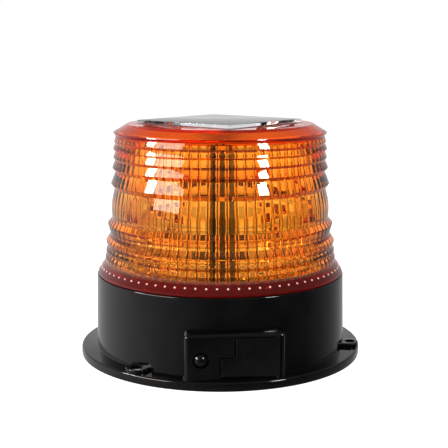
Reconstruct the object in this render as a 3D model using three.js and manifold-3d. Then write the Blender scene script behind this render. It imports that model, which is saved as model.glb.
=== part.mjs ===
// A bolt-down solar warning beacon: black housing, ribbed amber lens, solar panel on top.
// Millimetres, +Z up. The origin is the centre of the flange's underside and the switch
// box faces -Y.
import * as THREE from "three";
import { mergeVertices } from "three/addons/utils/BufferGeometryUtils.js";
import Module from "manifold-3d";

const wasm = await Module();
wasm.setup();

// ---- Driving dimensions -------------------------------------------------------------

const ROUND_STEPS = 48; // facets round the big walls
const SMALL_STEPS = 12; // facets round screws and small holes

// Housing: flange, wall, inner shelf for the reflector, ledge for the base gasket
const FLANGE_R = 68.36;
const FLANGE_TOP = 4.2;
const FLANGE_EDGE = 1; // rounding of the flange's upper edge
const WALL_FOOT_R = 60.75;
const WALL_TOP_R = 60.1;
const BORE_R = 57.6;
const RIM_Z = 39.65;
const SHELF_R = 29;
const SHELF_BOTTOM = 29.5;
const SHELF_TOP = 32;
const LEDGE_R = 54;
const LEDGE_BOTTOM = 3.9;
const LEDGE_TOP = 5.9;
const RUNNING_GAP = 0.3;
const OVERRUN = 1; // how far a cutting tool runs past the face that it cuts
const OVERLAP = 0.5; // how far joined shapes run into each other

// Mounting lugs
const LUG_ANGLES = [-15, 107, 228];
const LUG_HALF_WIDTH = 5.2;
const LUG_ROOT = 59.1; // where a lug runs into the wall
const LUG_TIP_INSET = 0.15; // from the flange's edge
const LUG_TOP = 6;
const LUG_HOLE_RADIUS = 2.5;
const LUG_HOLE_AT = 64.2; // distance of each hole from the axis

// Switch box on the wall
const BOX_HALF_WIDTH = 22.25;
const BOX_FRONT = -64.5;
const BOX_BACK = -50;
const BOX_BOTTOM = 1;
const BOX_TOP = 25;
const BOX_EDGE_R = 2;
const BOX_WALL = 1.8;
const CONTROL_Z = 13.3; // height of the button and of the charging socket

// Push button
const BUTTON_X = -15.05;
const BUTTON_R = 3.2;
const BUTTON_HOLE_R = 3.6;
const BUTTON_TRAVEL = 1;
const BUTTON_DOME = 3; // height of the crown
const BUTTON_PROUD = 1.5; // how far the crown stands out of the box
const BUTTON_FLANGE_R = 4.3;
const BUTTON_STEM_R = 1.5;
const BUTTON_CHAMBER = { halfWidth: 5.6, bottom: 7.9, top: 18.7 };
const SPRING = { radius: 2.6, wire: 0.22, turns: 4, stepsPerTurn: 10, front: -61.15, back: -57.65 };
const SWITCH = { halfSide: 3.5, front: -57.2, boreRadius: 1.9, boreFloor: -54.3 };

// Stepped hatch over the charging socket, hinged on a pin near its right edge
const HATCH_LEFT = 0.2;
const TAB_LEFT = -6.3;
const TAB_TOP = 13.85;
const HATCH_BOTTOM = 4.9;
const HATCH_TOP = 22.8;
const HATCH_THICK = 2.2;
const HINGE_X = 19.2;
const HINGE_PIN_R = 0.55;
const HINGE_HOLE_R = 0.68;
const HINGE_Y = BOX_FRONT + HATCH_THICK / 2;
const PIN_BOTTOM = 3.2;
const PIN_TOP = 23.7;
const POCKET = { left: 3, right: 17, bottom: 6.8, top: 19.8, floor: -56.5 };
const SOCKET = { x: 10, width: 8.9, height: 3.2, shell: 0.35, depth: 2.6 };
const SOCKET_WALL = { left: 1, right: 19, front: -58, back: -54.4, bottom: 5, top: 22 };
const PLUG = { inset: 0.5, wall: 1.7, thick: 1.3, face: 0.5 }; // the seal on the hatch

// Circuit board that carries the switch and the socket
const SIDE_BOARD = { halfWidth: 19.6, front: -52.9, thick: 1.6, bottom: 6.2, top: 24.5 };
const GUIDE = { inner: 19.9, outer: 21.4, front: -56, lip: 18, lipFront: -51, back: -49.8 };

// Lens
const LENS_TOP = 111.7;
const LENS_CEILING = 108.2;
const LENS_SEAT = 39.95;
const SPIGOT_BOTTOM = 34.2;
const SPIGOT_R = 57.2;
const SPIGOT_BORE = 54;

// Three long screws clamp the base cover, the housing and the lens together
const LONG_SCREW = { head: 2.8, headHeight: 1.1, shank: 1.35, length: 38.6, bottom: 0.6 };
const LONG_SCREW_AT = 50;
const LONG_HOLE_R = 1.7;
const LONG_BOSS_R = 3.4;
const LONG_BOSS_BOTTOM = 3.2;
const LENS_BOSS_R = 3.2;
const LENS_BOSS_TOP = 40;
const LENS_THREAD_R = 1.6;
const LONG_SCREW_ANGLES = [90, 210, 330];

// Solar panel, a square with one corner towards the switch box
const PANEL_SIDE = 57;
const PANEL_RECESS = 110;
const PANEL_TOP = 113.5;
const PANEL_GAP = 0.1; // between the layers of the panel
const PAD_BOTTOM = PANEL_RECESS + 0.2;
const PAD_TOP = PANEL_RECESS + 0.6;
const PANEL_BOARD_TOP = PANEL_RECESS + 1.5;
const CELL_TOP = PANEL_RECESS + 1.8;
const STRIP_COUNT = 4;
const STRIP_MARGIN = 3;
const LEAD_HOLE_R = 3.2;
const WIRE_R = 0.65;

// Reflector, LED tower and boards
const DISH_FLOOR = 33.8;
const DISH_THICK = 1.5;
const DISH_SCREW = { head: 2.4, headHeight: 1.5, shank: 1, length: 7.6 };
const DISH_BOSS_R = 2.8;
const DISH_BOSS_BOTTOM = 26.5;
const DISH_SCREW_AT = 33;
const DISH_SCREW_ANGLES = [60, 180, 300];
const TOWER_APOTHEM = 5.4;
const TOWER_BORE_APOTHEM = 3.9;
const TOWER_TOP = 104;
const TOWER_SIDES = 6;
const TOWER_FOOT = DISH_FLOOR + 0.2;
const TOWER_FOOT_R = 15;
const TOWER_SPIGOT_R = 8.6;
const TOWER_SPIGOT_BORE_R = 7;
const CAP_OVERHANG = 2;
const CAP_HOLE_R = 2.6;
const LED_BOARD = { width: 5.8, thick: 1, bottom: 38, top: 102 };
const LED = { side: 3.2, thick: 0.9, heights: [51, 93] };
const MAIN_BOARD = { radius: 45, bottom: 24.4, top: 26 };
const BOARD_SCREW = { head: 2.4, headHeight: 1.4, shank: 1, length: 6.2 };
const BOARD_BOSS_R = 3;
const BOARD_SCREW_AT = 41;
const BOARD_SCREW_ANGLES = [0, 120, 240];
const SCREW_PILOT_R = 1.25;
const SCREW_CLEARANCE_R = 1.4;
const DRIVER_CHIP = { left: 13, right: 23, front: -15, back: -9, height: 1.7 };

// Battery in its holder, on the base cover
const COVER = { radius: 57.3, bottom: 0.5, top: 2.9 };
const COUNTERBORE = { radius: 3.2, depth: 1.8 };
const CELL = { radius: 9.2, length: 65, z: 14.3 };
const CELL_TIP = { radius: 3, height: 1.2 };
const HOLDER = { halfLength: 36.2, halfWidth: 10.9, bottom: 3.5, top: 16, wall: 1.3 };
const HOLDER_PAD = { halfLength: 30, halfWidth: 8 };

// Rubber rings
const BASE_GASKET = { inner: 54.4, outer: 57.2, bottom: 3.2, top: 3.6 };
const LENS_SEAL = { inner: 54.6, outer: 57.1, bottom: SHELF_TOP + 0.2, top: SPIGOT_BOTTOM - 0.2 };

// ---- Materials ----------------------------------------------------------------------

function material(color, roughness, metalness = 0, opacity = 1) {
  return new THREE.MeshStandardMaterial({
    color,
    roughness,
    metalness,
    opacity,
    transparent: opacity < 1,
  });
}

const BLACK_PLASTIC = material(0x101012, 0.22);
const AMBER = material(0xf06a10, 0.08, 0, 0.6);
const RUBBER = material(0x1a1a1c, 0.8);
const STEEL = material(0xb8babd, 0.3, 1);
const CHROME = material(0xe2e4e6, 0.06, 1);
const WHITE_PLASTIC = material(0xd8d8d4, 0.45);
const CIRCUIT = material(0x12301c, 0.4);
const BLACK_CIRCUIT = material(0x141416, 0.4);
const SILICON = material(0x0b1230, 0.25);
const CLEAR_RESIN = material(0xcfd6dc, 0.04, 0, 0.35);
const LED_WHITE = material(0xf2edc8, 0.3);
const RED_WIRE = material(0xa81818, 0.5);
const BLACK_WIRE = material(0x161616, 0.5);
const CELL_WRAP = material(0x1d5fa8, 0.35);
const FOAM = material(0x2b2b2b, 0.95);

// ---- Solids -------------------------------------------------------------------------

const beacon = new THREE.Group();

function toSolid(geometry) {
  const bare = new THREE.BufferGeometry();
  bare.setAttribute("position", geometry.getAttribute("position"));
  bare.setIndex(geometry.index);
  const merged = mergeVertices(bare, 1e-4);
  const mesh = new wasm.Mesh({
    numProp: 3,
    vertProperties: merged.attributes.position.array,
    triVerts: new Uint32Array(merged.index.array),
  });
  return new wasm.Manifold(mesh);
}

function toGeometry(solid) {
  const made = solid.getMesh();
  const geometry = new THREE.BufferGeometry();
  geometry.setAttribute("position", new THREE.BufferAttribute(made.vertProperties, 3));
  geometry.setIndex(new THREE.BufferAttribute(made.triVerts, 1));
  const flat = geometry.toNonIndexed();
  flat.computeVertexNormals();
  return flat;
}

function place(name, solid, look) {
  const mesh = new THREE.Mesh(toGeometry(solid), look);
  mesh.name = name;
  beacon.add(mesh);
}

// A profile of [radius, height] pairs turned round the Z axis. Listed anticlockwise, with
// the radius to the right, it faces outwards. One that starts off the axis is closed.
function revolve(profile, steps = ROUND_STEPS) {
  const points = profile.map(([r, z]) => new THREE.Vector2(r, z));
  if (profile[0][0] > 0) points.push(points[0].clone());
  const geometry = new THREE.LatheGeometry(points, steps);
  geometry.rotateX(Math.PI / 2);
  return toSolid(geometry);
}

function ring({ inner, outer, bottom, top }) {
  return revolve([[inner, bottom], [outer, bottom], [outer, top], [inner, top]]);
}

function disc(radius, bottom, top, steps = SMALL_STEPS) {
  return revolve([[0, bottom], [radius, bottom], [radius, top], [0, top]], steps);
}

// A round bar along Y, centred on x and z
function crossBar(radius, x, z, from, to, steps = 24) {
  return disc(radius, -to, -from, steps).rotate([90, 0, 0]).translate([x, 0, z]);
}

function block(x0, x1, y0, y1, z0, z1) {
  const geometry = new THREE.BoxGeometry(x1 - x0, y1 - y0, z1 - z0);
  geometry.translate((x0 + x1) / 2, (y0 + y1) / 2, (z0 + z1) / 2);
  return toSolid(geometry);
}

// A flat outline in X and Y raised from bottom to top
function raise(shape, bottom, top, curveSegments = 5) {
  const depth = top - bottom;
  const geometry = new THREE.ExtrudeGeometry(shape, { depth, bevelEnabled: false, curveSegments });
  geometry.translate(0, 0, bottom);
  return toSolid(geometry);
}

function roundedSquare(side, radius) {
  const inner = side / 2 - radius;
  const shape = new THREE.Shape();
  [[1, -1], [1, 1], [-1, 1], [-1, -1]].forEach(([sx, sy], corner) => {
    const start = ((corner - 1) * Math.PI) / 2;
    shape.absarc(sx * inner, sy * inner, radius, start, start + Math.PI / 2, false);
  });
  return shape;
}

function onCircle(solid, distance, degrees) {
  return solid.translate([distance, 0, 0]).rotate([0, 0, degrees]);
}

function join(solids) {
  return solids.reduce((whole, piece) => whole.add(piece));
}

function cut(solid, tools) {
  return tools.reduce((whole, tool) => whole.subtract(tool), solid);
}

// A round wire along a smooth route
function wire(route, radius, steps) {
  const points = route.map(([x, y, z]) => new THREE.Vector3(x, y, z));
  const section = new THREE.Shape();
  section.absarc(0, 0, radius, 0, Math.PI * 2, false);
  const extrudePath = new THREE.CatmullRomCurve3(points);
  return toSolid(new THREE.ExtrudeGeometry(section, { steps, extrudePath, curveSegments: 3 }));
}

// A screw with its head's outer face at z = 0 and its shank upwards
function screw({ head, headHeight, shank, length }) {
  const body = revolve([
    [0, 0],
    [head - 0.3, 0],
    [head, 0.3],
    [head, headHeight],
    [shank, headHeight],
    [shank, length - shank],
    [0, length],
  ], SMALL_STEPS);
  const slot = head * 0.62;
  const half = head * 0.14;
  const depth = headHeight * 0.6;
  return cut(body, [
    block(-slot, slot, -half, half, -1, depth),
    block(-half, half, -slot, slot, -1, depth),
  ]);
}

// ---- Housing ------------------------------------------------------------------------

function lug(degrees) {
  const shape = new THREE.Shape();
  shape.moveTo(LUG_ROOT, -LUG_HALF_WIDTH);
  shape.lineTo(LUG_HOLE_AT, -LUG_HALF_WIDTH);
  const tip = FLANGE_R - LUG_HOLE_AT - LUG_TIP_INSET;
  shape.absellipse(LUG_HOLE_AT, 0, tip, LUG_HALF_WIDTH, -Math.PI / 2, Math.PI / 2, false);
  shape.lineTo(LUG_ROOT, LUG_HALF_WIDTH);
  return raise(shape, BOX_BOTTOM, LUG_TOP, 8).rotate([0, 0, degrees]);
}

// The box's outline from above, with round front corners
function boxPlan() {
  const shape = new THREE.Shape();
  const side = BOX_HALF_WIDTH;
  const near = BOX_FRONT + BOX_EDGE_R;
  shape.moveTo(side, BOX_BACK);
  shape.lineTo(-side, BOX_BACK);
  shape.absarc(-side + BOX_EDGE_R, near, BOX_EDGE_R, Math.PI, Math.PI * 1.5, false);
  shape.absarc(side - BOX_EDGE_R, near, BOX_EDGE_R, Math.PI * 1.5, Math.PI * 2, false);
  return shape;
}

// The box's outline from the side, with a round top edge: X here is Y in the part
function boxSide() {
  const shape = new THREE.Shape();
  shape.moveTo(BOX_BACK, BOX_BOTTOM);
  shape.lineTo(BOX_BACK, BOX_TOP);
  const near = BOX_FRONT + BOX_EDGE_R;
  shape.absarc(near, BOX_TOP - BOX_EDGE_R, BOX_EDGE_R, Math.PI / 2, Math.PI, false);
  shape.lineTo(BOX_FRONT, BOX_BOTTOM);
  return shape;
}

function switchBox() {
  const plan = raise(boxPlan(), BOX_BOTTOM, BOX_TOP);
  const width = BOX_HALF_WIDTH + OVERRUN;
  const side = raise(boxSide(), -width, width).rotate([90, 0, 90]);
  return plan.intersect(side).subtract(disc(BORE_R, 0, BOX_TOP + OVERRUN, ROUND_STEPS));
}

function hatchRecess() {
  const gap = RUNNING_GAP;
  const back = BOX_FRONT + HATCH_THICK + gap;
  const front = BOX_FRONT - OVERRUN;
  const right = HINGE_X + HATCH_THICK / 2 + gap;
  const foot = HATCH_BOTTOM - gap;
  const main = block(HATCH_LEFT - gap, right, front, back, foot, HATCH_TOP + gap);
  const tab = block(TAB_LEFT - gap, HATCH_LEFT, front, back, foot, TAB_TOP + gap);
  return main.add(tab);
}

function hingePinHole() {
  return disc(HINGE_HOLE_R, PIN_BOTTOM - 0.2, PIN_TOP + 0.2).translate([HINGE_X, HINGE_Y, 0]);
}

// Guides at both ends of the side board, hanging from the shelf
function boardGuide(side) {
  const { inner, outer, front, lip, lipFront, back } = GUIDE;
  const top = SHELF_BOTTOM + OVERLAP;
  const rail = block(inner, outer, front, back, SIDE_BOARD.bottom, top);
  const guide = rail.add(block(lip, inner + 0.1, lipFront, back, SIDE_BOARD.bottom, top));
  return side > 0 ? guide : guide.mirror([1, 0, 0]);
}

function longScrewBoss(degrees) {
  const top = SHELF_BOTTOM + OVERLAP;
  const boss = disc(LONG_BOSS_R, LONG_BOSS_BOTTOM, top, 16).translate([LONG_SCREW_AT, 0, 0]);
  const web = block(LONG_SCREW_AT, BORE_R + 1, -1, 1, LEDGE_TOP - OVERLAP, top);
  return boss.add(web).rotate([0, 0, degrees]);
}

function housing() {
  const shell = revolve([
    [BORE_R, 0],
    [FLANGE_R - 0.4, 0],
    [FLANGE_R, 0.4],
    [FLANGE_R, FLANGE_TOP - FLANGE_EDGE],
    [FLANGE_R - FLANGE_EDGE * 0.3, FLANGE_TOP - FLANGE_EDGE * 0.3],
    [FLANGE_R - FLANGE_EDGE, FLANGE_TOP],
    [WALL_FOOT_R + 0.4, FLANGE_TOP],
    [WALL_FOOT_R, FLANGE_TOP + 0.4],
    [WALL_TOP_R, RIM_Z - 0.6],
    [WALL_TOP_R - 0.5, RIM_Z],
    [BORE_R, RIM_Z],
    [BORE_R, SHELF_TOP],
    [SHELF_R, SHELF_TOP],
    [SHELF_R, SHELF_BOTTOM],
    [BORE_R, SHELF_BOTTOM],
    [BORE_R, LEDGE_TOP],
    [LEDGE_R, LEDGE_TOP],
    [LEDGE_R, LEDGE_BOTTOM],
    [BORE_R, LEDGE_BOTTOM],
  ]);
  const outside = join([shell, switchBox(), ...LUG_ANGLES.map(lug)]);
  const chamber = block(
    BUTTON_X - BUTTON_CHAMBER.halfWidth, BUTTON_X + BUTTON_CHAMBER.halfWidth,
    BOX_FRONT + BOX_WALL, BOX_BACK, BUTTON_CHAMBER.bottom, BUTTON_CHAMBER.top);
  const opened = outside.subtract(chamber);
  const { left, right, front, back, bottom, top } = SOCKET_WALL;
  const socketWall = block(left, right, front, back, bottom, top);
  const bossTop = SHELF_BOTTOM + OVERLAP;
  const dishBosses = DISH_SCREW_ANGLES.map((a) =>
    onCircle(disc(DISH_BOSS_R, DISH_BOSS_BOTTOM, bossTop), DISH_SCREW_AT, a));
  const boardBosses = BOARD_SCREW_ANGLES.map((a) =>
    onCircle(disc(BOARD_BOSS_R, MAIN_BOARD.top + RUNNING_GAP, bossTop), BOARD_SCREW_AT, a));
  const whole = join([
    opened,
    socketWall,
    boardGuide(1),
    boardGuide(-1),
    ...LONG_SCREW_ANGLES.map(longScrewBoss),
    ...dishBosses,
    ...boardBosses,
  ]);
  const halfSocket = SOCKET.width / 2 + RUNNING_GAP;
  const halfHeight = SOCKET.height / 2 + RUNNING_GAP;
  return cut(whole, [
    crossBar(BUTTON_HOLE_R, BUTTON_X, CONTROL_Z, BOX_FRONT - OVERRUN, -60),
    hatchRecess(),
    hingePinHole(),
    block(POCKET.left, POCKET.right, BOX_FRONT, POCKET.floor, POCKET.bottom, POCKET.top),
    block(SOCKET.x - halfSocket, SOCKET.x + halfSocket, BOX_FRONT, BOX_BACK,
      CONTROL_Z - halfHeight, CONTROL_Z + halfHeight),
    ...LUG_ANGLES.map((a) => onCircle(disc(LUG_HOLE_RADIUS, -1, 7, 16), LUG_HOLE_AT, a)),
    ...LONG_SCREW_ANGLES.map((a) => onCircle(disc(LONG_HOLE_R, 3, 33), LONG_SCREW_AT, a)),
    ...DISH_SCREW_ANGLES.map((a) => onCircle(disc(SCREW_PILOT_R, 27, 33), DISH_SCREW_AT, a)),
    ...BOARD_SCREW_ANGLES.map((a) => onCircle(disc(SCREW_PILOT_R, 26, 29.5), BOARD_SCREW_AT, a)),
  ]);
}

function baseCover() {
  const plate = revolve([
    [0, COVER.bottom],
    [COVER.radius - 0.4, COVER.bottom],
    [COVER.radius, COVER.bottom + 0.4],
    [COVER.radius, COVER.top],
    [0, COVER.top],
  ]);
  const holes = LONG_SCREW_ANGLES.flatMap((a) => [
    onCircle(disc(LONG_HOLE_R, 0, COVER.top + 0.1), LONG_SCREW_AT, a),
    onCircle(disc(COUNTERBORE.radius, 0, COUNTERBORE.depth, 16), LONG_SCREW_AT, a),
  ]);
  return cut(plate, holes);
}

// ---- Lens ---------------------------------------------------------------------------

function lensProfile() {
  const crown = [[51.35, 107.5], [45.5, 111.2], [44.8, LENS_TOP], [0, LENS_TOP]];
  const upperTeeth = [
    [51.1, 81.1], [52.75, 83.4],
    [50.45, 89.1], [52.05, 90.9],
    [50.65, 94.5], [51.45, 95.8],
    [50.4, 98.9], [51.5, 99.9],
    [50.5, 102.3], [50.95, 103.5],
    [50.15, 106.1],
  ];
  const barrel = [[52.5, 67.6], [52.73, 70.9], [52.5, 74.3], [51.85, 77.7]];
  const lowerTeeth = [
    [56.1, 46.4], [56.1, 48],
    [55, 49.9], [55.65, 51.4],
    [54.7, 53.2], [55.5, 55.9],
    [54, 58.2], [53.35, 59.6],
    [54.6, 64.2], [52.6, 66.4],
  ];
  const shoulder = [[59.5, LENS_SEAT], [59.5, 40.9], [57.9, 43.2], [56.3, 45.6]];
  const spigot = [[SPIGOT_BORE, SPIGOT_BOTTOM], [SPIGOT_R, SPIGOT_BOTTOM], [SPIGOT_R, LENS_SEAT]];
  const inside = [
    [0, LENS_CEILING], [43, LENS_CEILING], [47.4, 104.5],
    [47.9, 90], [49.6, 74], [50.2, 66], [52, 55], [53, 46],
  ];
  return [...inside, ...spigot, ...shoulder, ...lowerTeeth, ...barrel, ...upperTeeth, ...crown];
}

function lens() {
  const bosses = LONG_SCREW_ANGLES.map((a) => {
    const boss = onCircle(disc(LENS_BOSS_R, SPIGOT_BOTTOM, LENS_BOSS_TOP, 16), LONG_SCREW_AT, 0);
    const web = block(LONG_SCREW_AT + 1, SPIGOT_BORE + 1.5, -1.5, 1.5, SPIGOT_BOTTOM, LENS_BOSS_TOP);
    return boss.add(web).rotate([0, 0, a]);
  });
  const recess = raise(roundedSquare(PANEL_SIDE + 0.6, 1.5), PANEL_RECESS, LENS_TOP + OVERRUN, 2);
  return cut(join([revolve(lensProfile()), ...bosses]), [
    recess.rotate([0, 0, 45]),
    disc(LEAD_HOLE_R, LENS_CEILING - OVERRUN, PANEL_RECESS + OVERRUN),
    ...LONG_SCREW_ANGLES.map((a) =>
      onCircle(disc(LENS_THREAD_R, SPIGOT_BOTTOM - OVERRUN, LENS_BOSS_TOP + OVERRUN), LONG_SCREW_AT, a)),
  ]);
}

// ---- Solar panel --------------------------------------------------------------------

function buildSolarPanel() {
  const layer = (side, radius, bottom, top) => raise(roundedSquare(side, radius), bottom, top, 2);
  const leadHole = disc(LEAD_HOLE_R, PANEL_RECESS - OVERRUN, PANEL_RECESS + OVERRUN);
  const pad = layer(PANEL_SIDE - 1, 1, PAD_BOTTOM, PAD_TOP).subtract(leadHole);
  place("solar_pad", pad.rotate([0, 0, 45]), FOAM);

  const board = layer(PANEL_SIDE, 1.2, PAD_TOP + PANEL_GAP, PANEL_BOARD_TOP);
  place("solar_board", board.rotate([0, 0, 45]), WHITE_PLASTIC);

  const length = PANEL_SIDE - STRIP_MARGIN;
  const pitch = length / STRIP_COUNT;
  for (let i = 0; i < STRIP_COUNT; i++) {
    const left = i * pitch - length / 2;
    const strip = block(left + RUNNING_GAP, left + pitch - RUNNING_GAP, -length / 2, length / 2,
      PANEL_BOARD_TOP + PANEL_GAP, CELL_TOP);
    place(`solar_cell_${i + 1}`, strip.rotate([0, 0, 45]), SILICON);
  }

  const cover = layer(PANEL_SIDE, 1.2, CELL_TOP + PANEL_GAP, PANEL_TOP);
  place("solar_cover", cover.rotate([0, 0, 45]), CLEAR_RESIN);
}

// The two leads drop through the lens and the hollow tower to the main board
function buildSolarLeads() {
  const leads = [["solar_lead_positive", 1, RED_WIRE], ["solar_lead_negative", -1, BLACK_WIRE]];
  for (const [name, side, look] of leads) {
    const route = [
      [1.6 * side, 0, PANEL_RECESS + 0.4],
      [1.6 * side, 0, 90],
      [2.4 * side, 0.6, 68],
      [1.8 * side, -0.6, 48],
      [2.2 * side, 0, 36],
      [3.4 * side, 1, 31],
      [5 * side, 2, MAIN_BOARD.top + RUNNING_GAP],
    ];
    place(name, wire(route, WIRE_R, 14), look);
  }
}

// ---- Reflector, tower and light-emitting diodes -------------------------------------

function reflectorDish() {
  const bowl = revolve([
    [9, DISH_FLOOR - DISH_THICK],
    [36.6, DISH_FLOOR - DISH_THICK],
    [44.4, 39.9],
    [51.3, 43.1],
    [51.3, 44.6],
    [44, 41.5],
    [36, DISH_FLOOR],
    [9, DISH_FLOOR],
  ]);
  return cut(bowl, DISH_SCREW_ANGLES.map((a) =>
    onCircle(disc(SCREW_CLEARANCE_R, 30, 35), DISH_SCREW_AT, a)));
}

function hexBar(apothem, bottom, top) {
  const radius = apothem / Math.cos(Math.PI / TOWER_SIDES);
  return disc(radius, bottom, top, TOWER_SIDES).rotate([0, 0, 30]);
}

function ledTower() {
  const solid = join([
    hexBar(TOWER_APOTHEM, TOWER_FOOT, TOWER_TOP),
    disc(TOWER_FOOT_R, TOWER_FOOT, TOWER_FOOT + 2, 24),
    disc(TOWER_SPIGOT_R, TOWER_FOOT - 2.4, TOWER_FOOT + OVERLAP, 24),
  ]);
  return cut(solid, [
    hexBar(TOWER_BORE_APOTHEM, TOWER_FOOT, TOWER_TOP + OVERRUN),
    disc(TOWER_SPIGOT_BORE_R, TOWER_FOOT - 3, TOWER_FOOT + OVERRUN, 24),
  ]);
}

function towerCap() {
  const plate = hexBar(TOWER_APOTHEM + CAP_OVERHANG, TOWER_TOP + RUNNING_GAP, TOWER_TOP + 2);
  const plug = hexBar(TOWER_BORE_APOTHEM - RUNNING_GAP, TOWER_TOP - 3, TOWER_TOP + 1);
  return plate.add(plug).subtract(disc(CAP_HOLE_R, TOWER_TOP - 4, TOWER_TOP + 3));
}

function buildLedBoards() {
  const half = LED_BOARD.width / 2;
  const inner = TOWER_APOTHEM + RUNNING_GAP;
  const outer = inner + LED_BOARD.thick;
  const seat = outer + 0.1;
  const board = block(inner, outer, -half, half, LED_BOARD.bottom, LED_BOARD.top);
  const emitter = block(seat, seat + LED.thick, -LED.side / 2, LED.side / 2,
    -LED.side / 2, LED.side / 2);
  for (let i = 0; i < TOWER_SIDES; i++) {
    const turn = [0, 0, 30 + i * 60];
    place(`led_board_${i + 1}`, board.rotate(turn), BLACK_CIRCUIT);
    LED.heights.forEach((height, row) => {
      const number = i * LED.heights.length + row + 1;
      place(`led_${number}`, emitter.translate([0, 0, height]).rotate(turn), LED_WHITE);
    });
  }
}

// ---- Main board and battery ---------------------------------------------------------

function mainBoard() {
  const plate = disc(MAIN_BOARD.radius, MAIN_BOARD.bottom, MAIN_BOARD.top, 48);
  return cut(plate, BOARD_SCREW_ANGLES.map((a) =>
    onCircle(disc(SCREW_CLEARANCE_R, 24, 27), BOARD_SCREW_AT, a)));
}

function driverChip() {
  const { left, right, front, back, height } = DRIVER_CHIP;
  const bottom = MAIN_BOARD.top + 0.1;
  return block(left, right, front, back, bottom, bottom + height);
}

function holderPad() {
  const { halfLength, halfWidth } = HOLDER_PAD;
  return block(-halfLength, halfLength, -halfWidth, halfWidth,
    COVER.top + 0.1, HOLDER.bottom - 0.1);
}

function batteryHolder() {
  const { halfLength, halfWidth, bottom, top, wall } = HOLDER;
  const outside = block(-halfLength, halfLength, -halfWidth, halfWidth, bottom, top);
  const inside = block(-halfLength + wall, halfLength - wall, -halfWidth + wall,
    halfWidth - wall, bottom + wall, top + OVERRUN);
  return outside.subtract(inside);
}

function batteryCell() {
  const half = CELL.length / 2;
  const can = revolve([
    [0, -half],
    [CELL.radius, -half],
    [CELL.radius, half - CELL_TIP.height],
    [CELL_TIP.radius, half - CELL_TIP.height],
    [CELL_TIP.radius, half],
    [0, half],
  ], 24);
  return can.rotate([0, 90, 0]).translate([0, 0, CELL.z]);
}

function buildBatteryLeads() {
  const leads = [["battery_lead_positive", 1, RED_WIRE], ["battery_lead_negative", -1, BLACK_WIRE]];
  for (const [name, side, look] of leads) {
    const route = [
      [(HOLDER.halfLength + RUNNING_GAP) * side, 3, 9],
      [(HOLDER.halfLength + 1.6) * side, 3.6, 10],
      [(HOLDER.halfLength + 2.4) * side, 5, 15],
      [(HOLDER.halfLength + 1.6) * side, 6.5, 20],
      [(HOLDER.halfLength + 0.6) * side, 7, MAIN_BOARD.bottom - RUNNING_GAP],
    ];
    place(name, wire(route, WIRE_R, 8), look);
  }
}

// ---- Controls behind the switch box -------------------------------------------------

function buttonCap() {
  const dome = [];
  const crown = BOX_FRONT - BUTTON_PROUD;
  for (let i = 0; i <= 4; i++) {
    const angle = (i / 4) * (Math.PI / 2);
    dome.push([BUTTON_R * Math.sin(angle), crown + BUTTON_DOME * (1 - Math.cos(angle))]);
  }
  const flange = BOX_FRONT + BOX_WALL + RUNNING_GAP;
  const profile = [
    ...dome,
    [BUTTON_R, flange],
    [BUTTON_FLANGE_R, flange],
    [BUTTON_FLANGE_R, flange + 0.8],
    [BUTTON_STEM_R, flange + 0.8],
    [BUTTON_STEM_R, -60],
    [0, -60],
  ];
  const cap = revolve(profile, 20);
  return cap.rotate([-90, 0, 0]).translate([BUTTON_X, 0, CONTROL_Z]);
}

function buttonSpring() {
  const { radius, turns, stepsPerTurn, front, back } = SPRING;
  const steps = turns * stepsPerTurn;
  const route = [];
  for (let i = 0; i <= steps; i++) {
    const angle = (i / stepsPerTurn) * Math.PI * 2;
    const y = front + ((back - front) * i) / steps;
    route.push([BUTTON_X + radius * Math.cos(angle), y, CONTROL_Z + radius * Math.sin(angle)]);
  }
  return wire(route, SPRING.wire, steps);
}

function switchBody() {
  const { halfSide, front, boreRadius, boreFloor } = SWITCH;
  const body = block(BUTTON_X - halfSide, BUTTON_X + halfSide, front, SIDE_BOARD.front - 0.2,
    CONTROL_Z - halfSide, CONTROL_Z + halfSide);
  return body.subtract(crossBar(boreRadius, BUTTON_X, CONTROL_Z, front - 0.8, boreFloor, 12));
}

function switchPlunger() {
  const back = SWITCH.boreFloor - BUTTON_TRAVEL - RUNNING_GAP;
  return crossBar(BUTTON_STEM_R, BUTTON_X, CONTROL_Z, -59.7, back, 12);
}

function chargingSocket() {
  const { x, width, height, shell, depth } = SOCKET;
  const front = POCKET.floor + 0.1;
  const back = SIDE_BOARD.front - 0.2;
  const body = block(x - width / 2, x + width / 2, front, back,
    CONTROL_Z - height / 2, CONTROL_Z + height / 2);
  const mouth = block(x - width / 2 + shell, x + width / 2 - shell, front - OVERRUN, front + depth,
    CONTROL_Z - height / 2 + shell, CONTROL_Z + height / 2 - shell);
  return body.subtract(mouth);
}

function portHatch() {
  const back = BOX_FRONT + HATCH_THICK;
  const shape = new THREE.Shape();
  shape.moveTo(TAB_LEFT, back);
  shape.lineTo(TAB_LEFT, BOX_FRONT);
  shape.absarc(HINGE_X, HINGE_Y, HATCH_THICK / 2, -Math.PI / 2, Math.PI / 2, false);
  const plate = raise(shape, HATCH_BOTTOM, HATCH_TOP, 8);
  return cut(plate, [
    block(TAB_LEFT - OVERRUN, HATCH_LEFT, BOX_FRONT - OVERRUN, back + OVERRUN,
      TAB_TOP, HATCH_TOP + OVERRUN),
    disc(HINGE_HOLE_R, 0, BOX_TOP).translate([HINGE_X, HINGE_Y, 0]),
  ]);
}

function hingePin() {
  return disc(HINGE_PIN_R, PIN_BOTTOM, PIN_TOP).translate([HINGE_X, HINGE_Y, 0]);
}

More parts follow.
